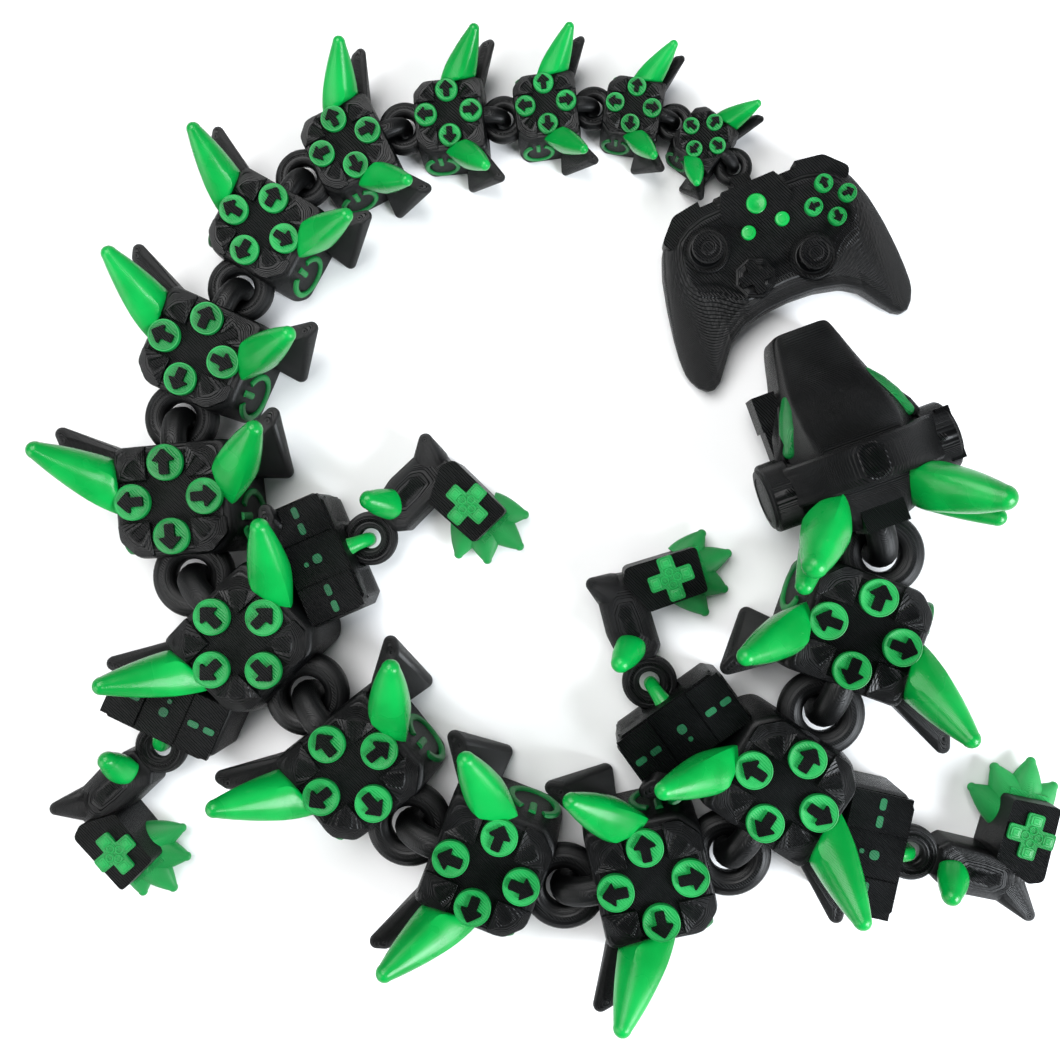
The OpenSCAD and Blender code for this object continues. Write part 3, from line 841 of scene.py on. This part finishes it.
def headset_band():
    """Broad strap over the crown, thicker where it meets the right ear."""
    rings = []
    for k in range(45):
        a = math.radians(12 + 156 * k / 44)
        thick = 1.9 + 0.5 * ease(math.radians(60), math.radians(30), a)
        width = 5.4 + 0.5 * ease(math.radians(62), math.radians(48), a)
        ring = []
        for q in range(24):
            wide, out = squircle(2 * math.pi * q / 24, 5.0)
            r = 22.3 + thick * out
            ring.append((25.0 + width * wide, -r * math.cos(a), BAND_Z + r * math.sin(a)))
        rings.append(ring)
    return loft(rings)


def ear_cup():
    """Ear cup turned round Y: a soft ring, then a drum with a stepped face."""
    profile = [(7.0, 12.6), (7.8, 13.0), (7.8, 17.6), (8.9, 17.8), (9.2, 18.1), (9.2, 23.9),
               (8.9, 24.4), (8.1, 24.7), (7.9, 25.2), (6.2, 25.4), (6.0, 25.1), (0.5, 25.1)]
    return moved(lathe(profile, 48), Matrix.Translation((24.2, 0, 20)) @ turned_x(-90))


def make_head():
    place = at(RINGS[1], HEAD_AHEAD)
    shell = Piece("head_skull")
    shell.add(skull(), BLACK, place)
    shell.add(REAR_LOOP, LINK_BLACK, place)
    shell.add(bar(7.8, 21, -5.6, 5.6, 18.9, 30.4, 0.9), BLACK, place)
    for side in (1, -1):
        lid = hull([(45.0, 12.6, 17.6, 1.3), (38.0, 16.0, 19.4, 1.8), (33.0, 18.0, 22.6, 1.5),
                    (36.0, 16.8, 24.4, 1.0)])
        shell.add(lid, BLACK, place @ side_frame(side))
    shell.place("head", "head_shell", "black_filament")
    gear = Piece("headset_band")
    gear.add(headset_band(), BLACK, place)
    for side in (1, -1):
        gear.add(ear_cup(), BLACK, place @ side_frame(side))
    gear.add(bar(17.5, 31.5, -25.0, -21.4, 12.0, 27.0, 1.0), BLACK, place)
    gear.add(bar(30, 42.4, 13.0, 18.0, 8, 15, 0.8), BLACK, place)
    gear.add(bar(41, 50.6, 12.4, 18.6, 7, 16.4, 1.1), BLACK, place)
    gear.place("head", "headset", "black_filament")
    eyes = Piece("head_eye_pair")
    horns = Piece("head_horn_set")
    for side in (1, -1):
        mirror = place @ side_frame(side)
        eyes.add(hull([(46.4, 10.8, 20.0, 1.5), (42.6, 12.0, 21.6, 2.6), (38.4, 13.4, 23.2, 3.0),
                       (33.8, 15.8, 24.8, 1.7)], 24), EMBLEM_GREEN, mirror)
        horns.add(horn((14.8, 12.2, 27.0), (6.6, -6.0, 0.9), (3.3, 3.7, 4.3), (5.4, 25.0, 46.4), 3.2,
                       ridge=1.42, belly=2.1), GLOSSY_GREEN, mirror)
        horns.add(horn((14.0, 12.4, 19.0), (3.6, -2.9, 0.9), (1.8, 2.0, 3.8), (-0.2, 26.4, 32.8), 2.3,
                       ridge=1.6, belly=1.9), GLOSSY_GREEN, mirror)
    eyes.place("head", "head_eyes", "green_filament")
    horns.place("head", "head_horns", "green_filament", sharp=28)


# ------------------------------------------------------------------ the controller
# half the controller's plan: distance from its middle line, front edge, rear edge
PAD_PLAN = [
    (0.0, -5.6, -39.2), (7.0, -5.6, -39.6), (14.6, -5.6, -41.4), (19.0, -6.6, -44.2),
    (22.6, -8.4, -49.0), (25.4, -11.2, -52.6), (27.4, -14.4, -53.8), (29.4, -20.0, -53.4),
    (31.2, -28.0, -51.6), (32.6, -36.4, -49.0), (33.2, -42.0, -46.6),
]


def pad_top(x, y):
    """Top of the controller, which falls along the grips and rolls off at the sides."""
    grip = ease(10, 24, abs(y))
    fall = 4.6 * ease(-22, -56, x) * grip
    roll = 2.4 * ease(22, 34, abs(y))
    return PAD_Z - fall - roll


def controller_body():
    rings = []
    count = 72
    for k in range(count + 1):
        a = math.radians(-90 + 180 * k / count)
        y = 33.15 * math.sin(a)
        front, rear = between(abs(y), PAD_PLAN, 1), between(abs(y), PAD_PLAN, 2)
        middle, half = (front + rear) / 2, (front - rear) / 2
        edge = math.sqrt(max(0.02, 1 - (max(0.0, abs(y) - 25.5) / 7.8) ** 2))
        ring = []
        for q in range(56):
            out, up = squircle(2 * math.pi * q / 56, 4.2)
            x = middle + half * out
            top = pad_top(x, y)
            ring.append((x, y, top / 2 + top / 2 * up * edge))
        rings.append(ring)
    return loft(rings)


def thumb_stick():
    return lathe([(6.3, -0.5), (6.3, 0.5), (6.1, 0.9), (5.5, 0.95), (5.2, 0.5), (4.4, 0.1), (2.5, 0.1),
                  (2.4, 1.9), (3.2, 2.4), (4.1, 2.7), (4.35, 3.2), (4.35, 3.9), (4.1, 4.2), (3.5, 4.2),
                  (3.2, 3.8), (2.4, 3.7), (1.6, 3.9), (1.4, 3.7), (0.3, 3.7)], 44)


def direction_pad():
    disc = lathe([(5.6, -0.5), (5.6, 0.5), (5.2, 0.95), (4.7, 0.8), (3.6, 0.35), (0.4, 0.3)], 8)
    return [disc, prism(plus(4.5, 1.45, 0.4), 0.1, 1.75, 0.35)]


def make_controller():
    ahead = Vector((AHEAD[14].x, AHEAD[14].y, 0))
    ahead.rotate(Matrix.Rotation(math.radians(-PAD_BEND), 3, "Z"))
    link_place = at(RINGS[15], ahead.xy)
    place = link_place @ Matrix.Translation((-PAD_BACK, 0, 0))
    size = SIZES[15]
    top = PAD_Z - 0.1
    shell = Piece("controller_body")
    back, front, near, far, low, high = FIN_NOTCH
    body = cut(controller_body(), bar(*FIN_NOTCH))
    body = cut(body, bar(back, front, -far, -near, low, high))
    shell.add(body, BLACK, place)
    ring = moved(link(RING_R * size, RING_T * size), Matrix.Translation((0, 0, LINK_Z * size)))
    shell.add(ring, LINK_BLACK, link_place)
    shell.add(bar(-9.0, -3.3, -2.6, 2.6, 2.6, 8.4, 0.8), BLACK, link_place)
    for side in (1, -1):
        bumper = rounded([(-10, 9.4, 0.5), (-4.9, 10.2, 0.6), (-6.6, 21.6, 3), (-12.4, 27.0, 2),
                          (-15, 25.4, 1)], 3)
        notched = cut(prism(bumper, 6.5, 12.3, 0.6), bar(*FIN_NOTCH))
        shell.add(notched, BLACK, place @ side_frame(side))
    plate = rounded([(-5.9, -7.6, 0.5), (-5.9, 7.6, 0.5), (-13.6, 10.4, 2), (-17, 6, 3), (-17, -6, 3),
                     (-13.6, -10.4, 2)], 3)
    shell.add(prism(plate, PAD_Z - 1.4, PAD_Z + 0.25, 0.2), BLACK, place)
    shell.place("controller", "controller_shell", "black_filament")
    sticks = Piece("controller_stick_set")
    for x, y in ((-18.8, 16.8), (-31.1, -8.7)):
        sticks.add(thumb_stick(), BLACK, place @ Matrix.Translation((x, y, top)))
    for part in direction_pad():
        sticks.add(part, BLACK, place @ Matrix.Translation((-30.7, 7.6, top)))
    sticks.place("controller", "controller_sticks", "black_filament")
    buttons = Piece("controller_button_set")
    dot = [(1.0, -0.5), (1.0, 0.55), (0.92, 0.72), (0.6, 0.78), (0.52, 0.7), (0.1, 0.72)]
    for x, y, r in ((-12.3, 0, 2.7), (-18.8, 4.8, 1.95), (-18.8, -4.8, 1.95)):
        knob = lathe([(r * k, z * 1.25) for k, z in dot], 32)
        buttons.add(knob, GLOSSY_GREEN, place @ Matrix.Translation((x, y, top)))
    signs = Piece("controller_arrows")
    for k in range(4):
        spot = place @ Matrix.Translation((-19.1, -18.4, top)) @ quarter(k, 4.8, 0)
        rim = lathe([(2.45, -0.6), (2.45, 1.1), (2.3, 1.35), (2.1, 1.35), (2.0, 1.2), (0.2, 1.2)], 32)
        buttons.add(rim, BUTTON_GREEN, spot)
        signs.add(arrow(0.52), BLACK, spot @ Matrix.Translation((0, 0, 1.3)))
    buttons.place("controller", "controller_buttons", "green_filament")
    signs.place("controller", "controller_symbols", "black_filament")


for number in range(1, 15):
    make_vertebra(number)
for end, number in (("front", FRONT_LEGS), ("rear", REAR_LEGS)):
    make_console_and_leg(f"{end}_left", number, 1)
    make_console_and_leg(f"{end}_right", number, -1)
make_head()
make_controller()


# ------------------------------------------------------------------ floor, light, camera
def make_floor():
    points = [(-2, -2, 0), (2, -2, 0), (2, 2, 0), (-2, 2, 0)]
    mesh = bpy.data.meshes.new("floor")
    mesh.from_pydata(points, [], [(0, 1, 2, 3)])
    floor = bpy.data.objects.new("floor", mesh)
    bpy.context.scene.collection.objects.link(floor)
    paper = bpy.data.materials.new("Pale paper")
    paper.use_nodes = True
    shader = paper.node_tree.nodes["Principled BSDF"]
    shader.inputs["Base Color"].default_value = (0.86, 0.86, 0.86, 1)
    shader.inputs["Roughness"].default_value = 0.9
    mesh.materials.append(paper)


def make_light(name, spot, size, power, tint=(1, 1, 1)):
    lamp = bpy.data.lights.new(name, "AREA")
    lamp.energy = power
    lamp.size = size
    lamp.color = tint
    thing = bpy.data.objects.new(name, lamp)
    bpy.context.scene.collection.objects.link(thing)
    thing.location = spot
    aim = Vector((0.1, 0, 0)) - Vector(spot)
    thing.rotation_euler = aim.to_track_quat("-Z", "Y").to_euler()


def make_world():
    world = bpy.data.worlds.new("studio")
    world.use_nodes = True
    sky = world.node_tree.nodes["Background"]
    sky.inputs["Color"].default_value = (0.92, 0.95, 1.0, 1)
    sky.inputs["Strength"].default_value = 0.2
    bpy.context.scene.world = world


def make_camera():
    lens = bpy.data.cameras.new("camera")
    lens.sensor_width = 36
    lens.lens = 33.96
    camera = bpy.data.objects.new("camera", lens)
    bpy.context.scene.collection.objects.link(camera)
    camera.location = (0.1102, -0.0061, 0.2852)
    camera.rotation_euler = [math.radians(a) for a in (-0.48, 3.11, -0.07)]
    bpy.context.scene.camera = camera


make_floor()
make_light("window", (0.6, -0.3, 0.42), 0.32, 8.0, (0.9, 0.95, 1.0))
make_light("ceiling", (-0.1, 0.3, 0.8), 0.6, 8.0)
make_light("fill", (-0.5, -0.3, 0.45), 0.5, 3.0)
make_world()
bpy.context.scene.view_settings.view_transform = "Standard"
make_camera()
